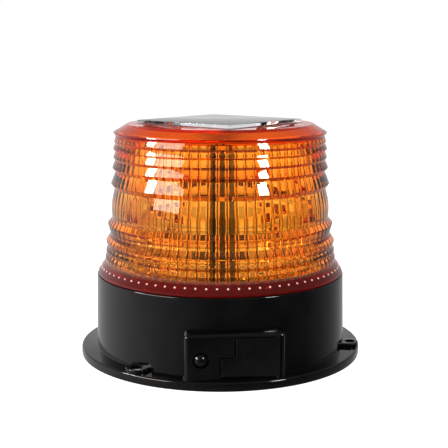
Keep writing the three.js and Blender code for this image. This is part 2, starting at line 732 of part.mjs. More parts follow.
// The rubber plug on the hatch's back, a frame that fills the pocket's mouth
function hatchSeal() {
  const front = BOX_FRONT + HATCH_THICK + 0.1;
  const back = front + PLUG.thick;
  const { left, right, bottom, top } = POCKET;
  const outer = PLUG.inset;
  const inner = PLUG.inset + PLUG.wall;
  const outside = block(left + outer, right - outer, front, back, bottom + outer, top - outer);
  const inside = block(left + inner, right - inner, front + PLUG.face, back + OVERRUN,
    bottom + inner, top - inner);
  return outside.subtract(inside);
}

function sideBoard() {
  const { halfWidth, front, thick, bottom, top } = SIDE_BOARD;
  return block(-halfWidth, halfWidth, front, front + thick, bottom, top);
}

// ---- Assembly -----------------------------------------------------------------------

place("housing", housing(), BLACK_PLASTIC);
place("base_cover", baseCover(), BLACK_PLASTIC);
place("base_gasket", ring(BASE_GASKET), RUBBER);
place("lens", lens(), AMBER);
place("lens_seal", ring(LENS_SEAL), RUBBER);
LONG_SCREW_ANGLES.forEach((angle, i) => {
  const fitted = screw(LONG_SCREW).translate([0, 0, LONG_SCREW.bottom]);
  place(`long_screw_${i + 1}`, onCircle(fitted, LONG_SCREW_AT, angle), STEEL);
});

buildSolarPanel();
buildSolarLeads();

place("reflector_dish", reflectorDish(), CHROME);
DISH_SCREW_ANGLES.forEach((angle, i) => {
  const fitted = screw(DISH_SCREW).rotate([180, 0, 0]).translate([0, 0, DISH_FLOOR + 1.7]);
  place(`reflector_screw_${i + 1}`, onCircle(fitted, DISH_SCREW_AT, angle), STEEL);
});
place("led_tower", ledTower(), BLACK_PLASTIC);
place("tower_cap", towerCap(), BLACK_PLASTIC);
buildLedBoards();

place("main_board", mainBoard(), CIRCUIT);
BOARD_SCREW_ANGLES.forEach((angle, i) => {
  const fitted = screw(BOARD_SCREW).translate([0, 0, MAIN_BOARD.bottom - 1.6]);
  place(`board_screw_${i + 1}`, onCircle(fitted, BOARD_SCREW_AT, angle), STEEL);
});
place("driver_chip", driverChip(), RUBBER);
place("holder_pad", holderPad(), FOAM);
place("battery_holder", batteryHolder(), BLACK_PLASTIC);
place("battery_cell", batteryCell(), CELL_WRAP);
buildBatteryLeads();

place("side_board", sideBoard(), CIRCUIT);
place("switch_body", switchBody(), RUBBER);
place("switch_plunger", switchPlunger(), WHITE_PLASTIC);
place("button_cap", buttonCap(), BLACK_PLASTIC);
place("button_spring", buttonSpring(), STEEL);
place("charging_socket", chargingSocket(), STEEL);
place("port_hatch", portHatch(), BLACK_PLASTIC);
place("hatch_pin", hingePin(), STEEL);
place("hatch_seal", hatchSeal(), RUBBER);

export default beacon;
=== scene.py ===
import math

import bmesh
import bpy
from mathutils import Matrix, Vector


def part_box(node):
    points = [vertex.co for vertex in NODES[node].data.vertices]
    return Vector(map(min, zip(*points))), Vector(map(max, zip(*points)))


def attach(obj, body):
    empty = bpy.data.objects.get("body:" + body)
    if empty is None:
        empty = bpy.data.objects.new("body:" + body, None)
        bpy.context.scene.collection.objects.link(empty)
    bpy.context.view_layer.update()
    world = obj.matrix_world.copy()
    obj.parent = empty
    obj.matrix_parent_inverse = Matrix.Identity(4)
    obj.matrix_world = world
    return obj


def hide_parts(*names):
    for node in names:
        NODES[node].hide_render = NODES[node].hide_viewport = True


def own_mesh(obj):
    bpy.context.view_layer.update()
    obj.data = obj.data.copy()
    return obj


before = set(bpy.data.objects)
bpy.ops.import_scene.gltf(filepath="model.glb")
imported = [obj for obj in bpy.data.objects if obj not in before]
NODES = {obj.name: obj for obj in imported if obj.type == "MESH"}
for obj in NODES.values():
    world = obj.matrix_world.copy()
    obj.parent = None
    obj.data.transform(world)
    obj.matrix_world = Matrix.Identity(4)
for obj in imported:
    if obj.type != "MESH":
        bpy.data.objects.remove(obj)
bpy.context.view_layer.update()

MM = 0.001
BASE, BUTTON, HATCH = "base", "button", "hatch"


# ---- Sizes read from the frame -------------------------------------------------------

def node_box(name):
    """The node's lowest and highest corner, in millimetres."""
    low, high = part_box(name)
    return Vector(low) / MM, Vector(high) / MM


HOUSING_HIGH = node_box("housing")[1]
FLANGE_R = HOUSING_HIGH.x
RIM_Z = HOUSING_HIGH.z
LENS_HIGH = node_box("lens")[1]
LENS_TOP = LENS_HIGH.z
LENS_FOOT_R = LENS_HIGH.x
COVER_LOW, COVER_HIGH = node_box("solar_cover")
PANEL_TOP = COVER_HIGH.z
BUTTON_LOW, BUTTON_HIGH = node_box("button_cap")
HATCH_LOW, HATCH_HIGH = node_box("port_hatch")
PIN_LOW, PIN_HIGH = node_box("hatch_pin")
PIN_X, PIN_Y = (PIN_LOW.x + PIN_HIGH.x) / 2, (PIN_LOW.y + PIN_HIGH.y) / 2
SPRING_LOW, SPRING_HIGH = node_box("button_spring")
SOCKET_LOW, SOCKET_HIGH = node_box("charging_socket")

# ---- Sizes of the visible shell, in millimetres --------------------------------------

FINE = 288  # facets round the visible walls
PAST = 70  # how far out the cutting tools reach
FLANGE_TOP = 4.2
FLANGE_EDGE = (0.7, 1.0)  # radii of the flange's lower and upper edge
WALL_FOOT_R = 60.75
WALL_FOOT_FILLET = 0.35
WALL_TOP_R = 60.1
RIM_EDGE = 0.6
BORE_R = 57.6
BORE_CHAMFER = 0.3
DECK = (29.5, 32)  # underside and top of the deck that carries the reflector
DECK_HOLE_R = 29
LEDGE = (3.9, 5.9)  # underside and top of the ledge over the base cover's gasket
LEDGE_R = 54
LUG_ANGLES = (-15, 107, 228)
LUG_HALF_WIDTH = 5.2
LUG_FOOT = 1.0
LUG_TOP = 6.0
LUG_ROOT_R = WALL_FOOT_R - 1.6
LUG_MARGIN = 0.15  # how far a lug's tip stays inside the flange's edge
LUG_HOLE_R = 2.5
LUG_HOLE_AT = 64.2
BOX_HALF_WIDTH = 22.25
BOX_FRONT = -64.5
BOX_BACK = -46
BOX_FOOT = 1.2
BOX_TOP = 25.0
BOX_EDGE = 2.0
CONTROL_Z = (BUTTON_LOW.z + BUTTON_HIGH.z) / 2
BUTTON_X = (BUTTON_LOW.x + BUTTON_HIGH.x) / 2
BUTTON_HOLE_R = 3.6
BUTTON_R = 3.2
BUTTON_CROWN = 3  # height of the button's dome
BUTTON_FLANGE_R = 4.3
BUTTON_FLANGE = (-62.4, -61.6)  # front and back of the button's flange
BUTTON_STEM_R = 1.5
BUTTON_STEM_END = -60
CHAMBER_HALF_WIDTH = 5.6  # the room behind the button
CHAMBER_WALL = 1.8
CHAMBER_Z = (7.9, 18.7)
HATCH_GAP = 0.3
SEAM = 0.4  # the joint beside the hatch's stepped edge
TAB_TOP = 13.85
HATCH_LEFT = 0.2
HATCH_EDGE = 0.75
PIN_HOLE_R = 0.68
PIN_HOLE_Z = (3.0, 23.9)
POCKET = (3.0, 17.0, 6.8, 19.8, -56.5)  # x from and to, z from and to, y of its floor
PORT_X = 10
PORT_HALF = (9.5 / 2, 3.8 / 2)  # half the charging port's width and height
SCREW_ANGLES = (90, 210, 330)
SCREW_AT = 50.0
BOSS_R = 3.4
BOSS_Z = (3.2, 30)
RIB_COUNT = 76
RIB_HEIGHT = 0.9
RIB_SHARE = 0.45  # of the pitch
RIB_SAMPLES = 9
SIDE_RIB = 0.04  # share of the ribs' height that is left at the sides
FADE_FROM = 0.62  # sine of the angle at which they start to rise, and over how much of it
FADE_OVER = 0.16
TOOTH_STEPS = 3
TOOTH_BULGE = 0.05
PANEL_HALF = 57.0 / 2
PANEL_CORNER = 1.2
PANEL_EDGE = 0.25
RECESS_HALF = 57.6 / 2
RECESS_CORNER = 1.5
RECESS_Z = (110.0, 113.0)
PIP_R = 0.5
PIP_AT = (57.75, 0, 43.3)
SPRING_R = 2.6
SPRING_WIRE_R = 0.22
SPRING_TURNS = 4
LED_SEAT = 6.8  # distance of the diodes' backs from the axis
LED_HALF = 1.6
LED_THICK = 0.6
SOCKET_CORNER = 1.5
SOCKET_WALL = 0.35
SOCKET_DEPTH = 2.6
TONGUE_HALF = 0.35
TONGUE_INSET = (1.2, 0.6)  # from the socket's sides and from its mouth


# ---- Camera, light and floor ---------------------------------------------------------

CAMERA_AT = (-0.0489, -0.4837, 0.14615)
CAMERA_AIM = (0.00185, -0.00019, 0.0623)
CAMERA_LENS = 80.93
LAMP_AIM = (0, 0, 0.085)
FLOOR_REACH = 6
FLOOR_DROP = 0.0002  # keeps the floor clear of the flange's underside
LEFT_LEAN = -0.3  # makes the left of the studio the brighter side
OVERHEAD_GREY = 0.16
LENS_HAZE = 0.2  # white added to the studio where it's seen through the lens


def build_camera():
    camera = bpy.data.objects.new("camera", bpy.data.cameras.new("camera"))
    bpy.context.scene.collection.objects.link(camera)
    camera.data.sensor_width = 36
    camera.data.lens = CAMERA_LENS
    camera.location = CAMERA_AT
    ahead = Vector(CAMERA_AIM) - camera.location
    camera.rotation_euler = ahead.to_track_quat("-Z", "Y").to_euler()
    camera.data.clip_start = 0.01
    bpy.context.scene.camera = camera


def node_maker(tree):
    """A function that adds a node to the tree and sets its inputs and properties."""
    def make(kind, inputs=None, **properties):
        node = tree.nodes.new(kind)
        for key, value in properties.items():
            setattr(node, key, value)
        for key, value in (inputs or {}).items():
            if isinstance(value, bpy.types.NodeSocket):
                tree.links.new(value, node.inputs[key])
            else:
                node.inputs[key].default_value = value
        return node
    return make


def ramp(make, source, stops):
    """A colour ramp with (position, grey or colour) stops."""
    node = make("ShaderNodeValToRGB", {"Fac": source})
    elements = node.color_ramp.elements
    while len(elements) < len(stops):
        elements.new(1)
    for element, (position, value) in zip(elements, stops):
        element.position = position
        colour = (value, value, value) if isinstance(value, (int, float)) else value
        element.color = (*colour, 1)
    return node.outputs["Color"]


def build_world():
    """A white studio: bright at the horizon behind and to the left, dim in front and above."""
    world = bpy.data.worlds.new("studio")
    world.use_nodes = True
    bpy.context.scene.world = world
    tree = world.node_tree
    tree.nodes.clear()
    make = node_maker(tree)
    place = make("ShaderNodeTexCoord")
    split = make("ShaderNodeSeparateXYZ", {0: place.outputs["Generated"]})
    back = make("ShaderNodeMath", {0: split.outputs["Y"], 1: 0.5, 2: 0.5},
                operation="MULTIPLY_ADD")
    side = make("ShaderNodeMath", {0: split.outputs["X"], 1: LEFT_LEAN, 2: back.outputs[0]},
                operation="MULTIPLY_ADD")
    around = ramp(make, side.outputs[0], [(0.0, 0.03), (0.1, 0.05), (0.45, 0.28), (0.72, 0.5),
                                          (0.98, 0.7)])
    rise = make("ShaderNodeMath", {0: split.outputs["Z"]}, operation="ABSOLUTE")
    overhead = ramp(make, rise.outputs[0], [(0.2, 0.0), (0.75, 1.0)])
    glow = make("ShaderNodeMix", {0: overhead}, data_type="RGBA")
    tree.links.new(around, glow.inputs[6])
    glow.inputs[7].default_value = (OVERHEAD_GREY, OVERHEAD_GREY, OVERHEAD_GREY, 1)
    path = make("ShaderNodeLightPath")
    haze = make("ShaderNodeMath", {0: path.outputs["Is Transmission Ray"], 1: LENS_HAZE},
                operation="MULTIPLY")
    through = make("ShaderNodeMix", {0: haze.outputs[0]}, data_type="RGBA")
    tree.links.new(glow.outputs[2], through.inputs[6])
    through.inputs[7].default_value = (1, 1, 1, 1)
    lit = make("ShaderNodeBackground", {"Color": through.outputs[2], "Strength": 1.0})
    seen = make("ShaderNodeBackground", {"Color": (1, 1, 1, 1), "Strength": 1.0})
    mixed = make("ShaderNodeMixShader", {0: path.outputs["Is Camera Ray"], 1: lit.outputs[0],
                                         2: seen.outputs[0]})
    make("ShaderNodeOutputWorld", {"Surface": mixed.outputs[0]})


def softbox(name, azimuth, elevation, distance, size, power, colour=(1, 1, 1)):
    """A rectangular lamp aimed at the lens. Azimuth 0 is in front, positive to +X."""
    light = bpy.data.lights.new(name, "AREA")
    light.shape = "RECTANGLE"
    light.size, light.size_y = size
    light.energy = power
    light.color = colour
    lamp = bpy.data.objects.new(name, light)
    bpy.context.scene.collection.objects.link(lamp)
    a, e = math.radians(azimuth), math.radians(elevation)
    away = Vector((math.sin(a) * math.cos(e), -math.cos(a) * math.cos(e), math.sin(e)))
    lamp.location = Vector(LAMP_AIM) + away * distance
    lamp.rotation_euler = (-away).to_track_quat("-Z", "Y").to_euler()


def build_lights():
    softbox("key_left", -86, 23.5, 1.0, (0.18, 0.21), 4.2)
    softbox("fill_left", -63, 20.5, 1.05, (0.56, 0.46), 7.0, (1.0, 0.86, 0.76))
    softbox("key_right", 42.5, 26.5, 1.0, (0.17, 0.24), 4.4)


def build_floor():
    reach = FLOOR_REACH
    corners = [(-reach, -reach, 0), (reach, -reach, 0), (reach, reach, 0), (-reach, reach, 0)]
    floor = polygon_mesh("floor", corners, [(0, 1, 2, 3)], 1)
    floor.location.z = -FLOOR_DROP
    material = new_material("floor_paper")
    make = node_maker(material.node_tree)
    shader = make("ShaderNodeBsdfPrincipled", {"Roughness": 0.9, "Specular IOR Level": 0.1,
                                               "Emission Color": (1, 1, 1, 1),
                                               "Emission Strength": 0.85})
    grain = make("ShaderNodeTexNoise", {"Scale": 60.0, "Detail": 3.0})
    tint = ramp(make, grain.outputs["Fac"], [(0.3, (0.90, 0.90, 0.90)), (0.7, (0.93, 0.93, 0.93))])
    material.node_tree.links.new(tint, shader.inputs["Base Color"])
    make("ShaderNodeOutputMaterial", {"Surface": shader.outputs[0]})
    floor.data.materials.append(material)
    floor.visible_glossy = False


# ---- Mesh helpers --------------------------------------------------------------------

def polygon_mesh(name, vertices, faces, scale=MM):
    mesh = bpy.data.meshes.new(name)
    mesh.from_pydata([[c * scale for c in v] for v in vertices], [], faces)
    mesh.validate()
    obj = bpy.data.objects.new(name, mesh)
    bpy.context.scene.collection.objects.link(obj)
    return obj


def smooth(obj, degrees):
    """Smooth shading that keeps edges sharper than this angle."""
    for face in obj.data.polygons:
        face.use_smooth = True
    obj.data.set_sharp_from_angle(angle=math.radians(degrees))


def lathe(name, profile, steps=FINE, closed=False):
    """Turns (radius, height) points round Z. Points on the axis become one vertex."""
    vertices, rings = [], []
    for r, z in profile:
        if r < 1e-6:
            rings.append([len(vertices)] * steps)
            vertices.append((0, 0, z))
            continue
        start = len(vertices)
        for i in range(steps):
            angle = 2 * math.pi * i / steps
            vertices.append((r * math.cos(angle), r * math.sin(angle), z))
        rings.append(list(range(start, start + steps)))
    if closed:
        rings.append(rings[0])
    faces = []
    for low, high in zip(rings, rings[1:]):
        for i in range(steps):
            j = (i + 1) % steps
            corners = [low[i], low[j], high[j], high[i]]
            unique = list(dict.fromkeys(corners))
            if len(unique) > 2:
                faces.append(unique)
    return polygon_mesh(name, vertices, faces)


def arc(cx, cy, radius, start, end, steps=6):
    """Points of a round corner, angles in degrees."""
    points = []
    for i in range(steps + 1):
        angle = math.radians(start + (end - start) * i / steps)
        points.append((cx + radius * math.cos(angle), cy + radius * math.sin(angle)))
    return points


def rounded_square(half, corner, steps):
    """(x, y) outline of a square with round corners."""
    outline = []
    for quarter, (sx, sy) in enumerate(((1, -1), (1, 1), (-1, 1), (-1, -1))):
        start = (quarter - 1) * 90
        outline += arc(sx * (half - corner), sy * (half - corner), corner, start, start + 90, steps)
    return outline


def prism(name, outline, bottom, top, bevel=0.0, segments=3):
    """Raises an (x, y) outline, with its top and bottom edges rounded by bevel."""
    count = len(outline)
    vertices = [(x, y, bottom) for x, y in outline] + [(x, y, top) for x, y in outline]
    faces = [list(range(count))[::-1], list(range(count, 2 * count))]
    for i in range(count):
        j = (i + 1) % count
        faces.append([i, j, count + j, count + i])
    obj = polygon_mesh(name, vertices, faces)
    if bevel:
        round_edges(obj, bevel, segments)
    return obj


def box_mesh(name, low, high, bevel=0.0, segments=3):
    (x0, y0, z0), (x1, y1, z1) = low, high
    return prism(name, [(x0, y0), (x1, y0), (x1, y1), (x0, y1)], z0, z1, bevel, segments)


def round_edges(obj, width, segments):
    """Rounds every edge that turns by more than 40 degrees."""
    modifier = obj.modifiers.new("bevel", "BEVEL")
    modifier.width = width * MM
    modifier.segments = segments
    modifier.limit_method = "ANGLE"
    modifier.angle_limit = math.radians(40)
    apply_modifiers(obj)


def apply_modifiers(obj):
    """Replaces the object's mesh by what its modifiers make of it."""
    graph = bpy.context.evaluated_depsgraph_get()
    made = bpy.data.meshes.new_from_object(obj.evaluated_get(graph))
    old = obj.data
    obj.modifiers.clear()
    obj.data = made
    bpy.data.meshes.remove(old)


def combine(obj, tools, operation="DIFFERENCE"):
    """Cuts each tool from the object, or joins it on, and deletes the tools."""
    for tool in tools:
        modifier = obj.modifiers.new("combine", "BOOLEAN")
        modifier.operation = operation
        modifier.solver = "EXACT"
        modifier.object = tool
        apply_modifiers(obj)
        bpy.data.objects.remove(tool)
    return obj


def turn(obj, degrees, axis="Z"):
    obj.data.transform(Matrix.Rotation(math.radians(degrees), 4, axis))
    return obj


def shift(obj, x=0, y=0, z=0):
    obj.data.transform(Matrix.Translation(Vector((x, y, z)) * MM))
    return obj


def bar_along_y(name, radius, x, z, y0, y1):
    bar = lathe(name, [(0, -y1), (radius, -y1), (radius, -y0), (0, -y0)], 64)
    turn(bar, 90, "X")
    return shift(bar, x, 0, z)


def finish_piece(obj, material, body, replaced=(), sharp=35):
    """Gives a piece its material, smooth shading and body, and hides the CAD nodes that it stands
    for.
    """
    obj.data.materials.clear()
    obj.data.materials.append(material)
    smooth(obj, sharp)
    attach(obj, body)
    if replaced:
        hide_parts(*replaced)


# ---- Materials -----------------------------------------------------------------------

def new_material(name):
    material = bpy.data.materials.new(name)
    material.use_nodes = True
    material.node_tree.nodes.clear()
    return material


def surface(name, colour, roughness, bump=None, **constants):
    """A Principled material with mottled colour and roughness.

    colour and roughness are (low, high) pairs that a noise mixes. bump is (scale,
    strength, distance in metres). constants are set on the shader's own sockets.
    """
    material = new_material(name)
    make = node_maker(material.node_tree)
    place = make("ShaderNodeTexCoord").outputs["Object"]
    cloud = make("ShaderNodeTexNoise", {"Vector": place, "Scale": 90.0, "Detail": 4.0})
    tint = ramp(make, cloud.outputs["Fac"], [(0.35, colour[0]), (0.65, colour[1])])
    wear = ramp(make, cloud.outputs["Fac"], [(0.3, roughness[0]), (0.7, roughness[1])])
    inputs = {"Base Color": tint, "Roughness": wear}
    if bump:
        scale, strength, distance = bump
        grain = make("ShaderNodeTexNoise", {"Vector": place, "Scale": scale, "Detail": 2.0})
        relief = make("ShaderNodeBump", {"Height": grain.outputs["Fac"], "Strength": strength,
                                         "Distance": distance})
        inputs["Normal"] = relief.outputs[0]
    inputs.update({key.replace("_", " "): value for key, value in constants.items()})
    shader = make("ShaderNodeBsdfPrincipled", inputs)
    make("ShaderNodeOutputMaterial", {"Surface": shader.outputs[0]})
    return material


def pass_lamps(make, glass, colour):
    """Makes the glass clear for shadow rays, so that the lamps reach the inside through it."""
    clear = make("ShaderNodeBsdfTransparent", {"Color": (*colour, 1)})
    path = make("ShaderNodeLightPath")
    return make("ShaderNodeMixShader", {0: path.outputs["Is Shadow Ray"], 1: glass.outputs[0],
                                        2: clear.outputs[0]})


def black_plastic(name, roughness=(0.05, 0.10)):
    return surface(name, ((0.0020, 0.0020, 0.0023), (0.0036, 0.0036, 0.0040)), roughness,
                   bump=(420.0, 0.05, 0.0002), IOR=1.5)


FOOT_RED = (0.30, 0.012, 0.006)  # the colours of the lens's foot, wall and crown
WALL_AMBER = (0.97, 0.84, 0.49)
CROWN_ORANGE = (0.97, 0.56, 0.07)
FROST_Z = (0.1049, 0.1092)  # where the textured underside of the lens's top lies
FROST_R = 0.0475


def amber_material():
    """Clear amber polycarbonate, deeper where it is thick, with a textured underside to its top."""
    material = new_material("amber_polycarbonate")
    make = node_maker(material.node_tree)
    place = make("ShaderNodeTexCoord").outputs["Object"]
    split = make("ShaderNodeSeparateXYZ", {0: place})
    height = make("ShaderNodeMapRange", {"Value": split.outputs["Z"], "From Min": 0.03,
                                         "From Max": 0.13})
    tint = ramp(make, height.outputs[0], [(0.148, FOOT_RED), (0.165, WALL_AMBER),
                                          (0.742, WALL_AMBER), (0.75, CROWN_ORANGE)])
    clarity = ramp(make, height.outputs[0], [(0.148, 0.8), (0.165, 1.0)])
    above = make("ShaderNodeMath", {0: split.outputs["Z"], 1: FROST_Z[0]}, operation="GREATER_THAN")
    below = make("ShaderNodeMath", {0: split.outputs["Z"], 1: FROST_Z[1]}, operation="LESS_THAN")
    flat = make("ShaderNodeCombineXYZ", {"X": split.outputs["X"], "Y": split.outputs["Y"]})
    radius = make("ShaderNodeVectorMath", {0: flat.outputs[0]}, operation="LENGTH")
    within = make("ShaderNodeMath", {0: radius.outputs["Value"], 1: FROST_R},
                  operation="LESS_THAN")
    band = make("ShaderNodeMath", {0: above.outputs[0], 1: below.outputs[0]}, operation="MULTIPLY")
    frost = make("ShaderNodeMath", {0: band.outputs[0], 1: within.outputs[0]}, operation="MULTIPLY")
    wear = make("ShaderNodeMapRange", {"Value": frost.outputs[0], "To Min": 0.02, "To Max": 0.5})
    glass = make("ShaderNodeBsdfPrincipled", {"Base Color": tint, "Roughness": wear.outputs[0],
                                              "IOR": 1.52, "Transmission Weight": clarity})
    mixed = pass_lamps(make, glass, (0.99, 0.92, 0.7))
    depth = make("ShaderNodeVolumeAbsorption", {"Color": (0.99, 0.64, 0.02, 1), "Density": 480.0})
    make("ShaderNodeOutputMaterial", {"Surface": mixed.outputs[0], "Volume": depth.outputs[0]})
    return material


def clear_resin_material():
    material = new_material("clear_resin")
    make = node_maker(material.node_tree)
    place = make("ShaderNodeTexCoord").outputs["Object"]
    cloud = make("ShaderNodeTexNoise", {"Vector": place, "Scale": 60.0, "Detail": 2.0})
    wear = ramp(make, cloud.outputs["Fac"], [(0.3, 0.01), (0.7, 0.03)])
    glass = make("ShaderNodeBsdfPrincipled", {"Base Color": (0.98, 0.99, 1.0, 1), "Roughness": wear,
                                              "IOR": 1.46, "Transmission Weight": 1.0})
    mixed = pass_lamps(make, glass, (0.95, 0.97, 1.0))
    make("ShaderNodeOutputMaterial", {"Surface": mixed.outputs[0]})
    return material


FINGER_PITCH = 0.0018  # the cells' silver lines, in metres
FINGER_HALF = 0.00007
BUSBAR_PITCH = 0.00675
BUSBAR_FROM = 0.0062


def solar_silicon_material():
    """Dark blue cells with fine silver fingers and two busbars, turned 45 degrees."""
    material = new_material("solar_silicon")
    make = node_maker(material.node_tree)
    place = make("ShaderNodeTexCoord").outputs["Object"]
    turned = make("ShaderNodeMapping", {"Vector": place, "Rotation": (0, 0, math.radians(-45))})
    split = make("ShaderNodeSeparateXYZ", {0: turned.outputs[0]})
    finger_phase = make("ShaderNodeMath", {0: split.outputs["Y"], 1: FINGER_PITCH},
                        operation="PINGPONG")
    finger = make("ShaderNodeMath", {0: finger_phase.outputs[0], 1: FINGER_HALF},
                  operation="LESS_THAN")
    bus_phase = make("ShaderNodeMath", {0: split.outputs["X"], 1: BUSBAR_PITCH},
                     operation="PINGPONG")
    bus = make("ShaderNodeMath", {0: bus_phase.outputs[0], 1: BUSBAR_FROM},
               operation="GREATER_THAN")
    metal = make("ShaderNodeMath", {0: finger.outputs[0], 1: bus.outputs[0]}, operation="MAXIMUM")
    crystal = make("ShaderNodeTexVoronoi", {"Vector": place, "Scale": 160.0})
    blue = ramp(make, crystal.outputs["Color"], [(0.0, (0.004, 0.008, 0.035)),
                                                 (1.0, (0.010, 0.022, 0.085))])
    colour = make("ShaderNodeMix", {"Factor": metal.outputs[0]}, data_type="RGBA")
    material.node_tree.links.new(blue, colour.inputs[6])
    colour.inputs[7].default_value = (0.55, 0.56, 0.58, 1)
    shader = make("ShaderNodeBsdfPrincipled", {"Base Color": colour.outputs[2], "Roughness": 0.25,
                                               "Metallic": metal.outputs[0]})
    make("ShaderNodeOutputMaterial", {"Surface": shader.outputs[0]})
    return material


def circuit_material(name, mask, trace):
    """Solder mask over copper tracks on a square grid."""
    material = new_material(name)
    make = node_maker(material.node_tree)
    place = make("ShaderNodeTexCoord").outputs["Object"]
    cells = make("ShaderNodeTexBrick", {"Vector": place, "Scale": 260.0, "Mortar Size": 0.035,
                                        "Color1": (*mask, 1), "Color2": (*mask, 1),
                                        "Mortar": (*trace, 1)})
    shader = make("ShaderNodeBsdfPrincipled", {"Base Color": cells.outputs["Color"],
                                               "Roughness": 0.32, "Coat Weight": 0.3})
    make("ShaderNodeOutputMaterial", {"Surface": shader.outputs[0]})
    return material


MATERIALS = {
    "housing": black_plastic("black_abs"),
    "button": black_plastic("button_plastic", (0.08, 0.14)),
    "hatch": black_plastic("hatch_plastic", (0.07, 0.12)),
    "lens": amber_material(),
    # the pips' pale colour is a painted glint, standing in for white sparkles of light on the
    # lens's shoulder
    "glint_pip": surface("pip_painted_glint", ((0.75, 0.55, 0.48), (0.85, 0.65, 0.58)), (0.05, 0.10)),
    "rubber": surface("seal_rubber", ((0.012, 0.012, 0.012), (0.02, 0.02, 0.02)), (0.6, 0.8),
                      bump=(900.0, 0.2, 0.0002)),
    "foam": surface("foam_pad", ((0.02, 0.02, 0.02), (0.04, 0.04, 0.04)), (0.85, 0.95),
                    bump=(2400.0, 0.6, 0.0003)),
    "steel": surface("zinc_steel", ((0.5, 0.5, 0.51), (0.66, 0.66, 0.67)), (0.22, 0.38),
                     bump=(1500.0, 0.08, 0.0001), Metallic=1.0),
    "resin": clear_resin_material(),
    "silicon": solar_silicon_material(),
    "backing": surface("panel_laminate", ((0.62, 0.62, 0.60), (0.72, 0.72, 0.70)), (0.4, 0.5)),
    "chrome": surface("metallised_mirror", ((0.86, 0.87, 0.88), (0.92, 0.92, 0.93)), (0.06, 0.12),
                      bump=(180.0, 0.04, 0.0003), Metallic=1.0),
    "white": surface("white_nylon", ((0.60, 0.60, 0.58), (0.70, 0.70, 0.68)), (0.35, 0.5),
                     bump=(800.0, 0.1, 0.0002)),
    "tower": surface("tower_nylon", ((0.010, 0.008, 0.008), (0.016, 0.013, 0.013)), (0.35, 0.5),
                     bump=(800.0, 0.1, 0.0002)),
    "led_board": circuit_material("led_circuit", (0.006, 0.006, 0.008), (0.03, 0.03, 0.032)),
    "main_board": circuit_material("green_circuit", (0.006, 0.05, 0.018), (0.02, 0.11, 0.04)),
    "led": surface("led_package", ((0.72, 0.66, 0.30), (0.85, 0.78, 0.40)), (0.25, 0.35)),
    "chip": surface("chip_compound", ((0.012, 0.012, 0.013), (0.02, 0.02, 0.022)), (0.5, 0.6),
                    bump=(1800.0, 0.2, 0.0001)),
    "red": surface("red_insulation", ((0.35, 0.012, 0.012), (0.45, 0.02, 0.02)), (0.4, 0.5)),
    "black_wire": surface("black_insulation", ((0.01, 0.01, 0.01), (0.02, 0.02, 0.02)), (0.4, 0.5)),
    "wrap": surface("cell_wrap", ((0.02, 0.12, 0.36), (0.03, 0.16, 0.45)), (0.25, 0.35)),
}


# ---- Housing -------------------------------------------------------------------------

def switch_box():
    """The switch box, with all its outer edges rounded."""
    low = (-BOX_HALF_WIDTH, BOX_FRONT, -4)
    high = (BOX_HALF_WIDTH, BOX_BACK, BOX_TOP)
    box = box_mesh("switch_box", low, high, BOX_EDGE, 6)
    inner = WALL_TOP_R - 1
    inside = lathe("inside", [(0, -6), (inner, -6), (inner, 29), (0, 29)], FINE)
    below = box_mesh("below", (-30, -PAST, -6), (30, -40, BOX_FOOT))
    return combine(box, [inside, below])


def lug(degrees):
    """A raised ear on the flange, round at its outer end."""
    tip = FLANGE_R - LUG_HOLE_AT - LUG_MARGIN
    outline = [(LUG_ROOT_R, LUG_HALF_WIDTH), (LUG_ROOT_R, -LUG_HALF_WIDTH)]
    for i in range(25):
        angle = math.radians(-90 + 180 * i / 24)
        outline.append((LUG_HOLE_AT + tip * math.cos(angle), LUG_HALF_WIDTH * math.sin(angle)))
    piece = prism("lug", outline, LUG_FOOT, LUG_TOP, 0.5, 4)
    return turn(piece, degrees)


def housing_profile():
    """The section of flange, wall, deck and ledge, as (radius, height)."""
    lower, upper = FLANGE_EDGE
    fillet = WALL_FOOT_FILLET
    outside = [(BORE_R, 0)]
    outside += arc(FLANGE_R - lower, lower, lower, -90, 0, 4)
    outside += arc(FLANGE_R - upper, FLANGE_TOP - upper, upper, 0, 90, 6)
    outside += arc(WALL_FOOT_R + fillet, FLANGE_TOP + fillet, fillet, 270, 180, 3)
    outside += arc(WALL_TOP_R - RIM_EDGE, RIM_Z - RIM_EDGE, RIM_EDGE, 2, 90, 5)
    inside = [(BORE_R + BORE_CHAMFER, RIM_Z), (BORE_R, RIM_Z - BORE_CHAMFER)]
    inside += [(BORE_R, DECK[1]), (DECK_HOLE_R, DECK[1]), (DECK_HOLE_R, DECK[0]), (BORE_R, DECK[0])]
    inside += [(BORE_R, LEDGE[1]), (LEDGE_R, LEDGE[1]), (LEDGE_R, LEDGE[0]), (BORE_R, LEDGE[0])]
    return outside + inside


def hatch_recess():
    """The stepped opening that the hatch closes, a gap larger than the hatch."""
    left, right = HATCH_LOW.x - SEAM, HATCH_HIGH.x + HATCH_GAP / 2
    foot, top = HATCH_LOW.z - HATCH_GAP, HATCH_HIGH.z + HATCH_GAP
    step_x, step_z = HATCH_LEFT - SEAM, TAB_TOP + SEAM
    outline = [(left, foot), (right, foot), (right, top), (step_x, top), (step_x, step_z),
               (left, step_z)]
    piece = prism("recess", outline, -HATCH_HIGH.y - HATCH_GAP, PAST)
    return turn(piece, 90, "X")


def screw_boss(degrees):
    low, high = BOSS_Z
    boss = lathe("boss", [(0, low), (BOSS_R, low), (BOSS_R, high), (0, high)], 32)
    return turn(shift(boss, SCREW_AT), degrees)


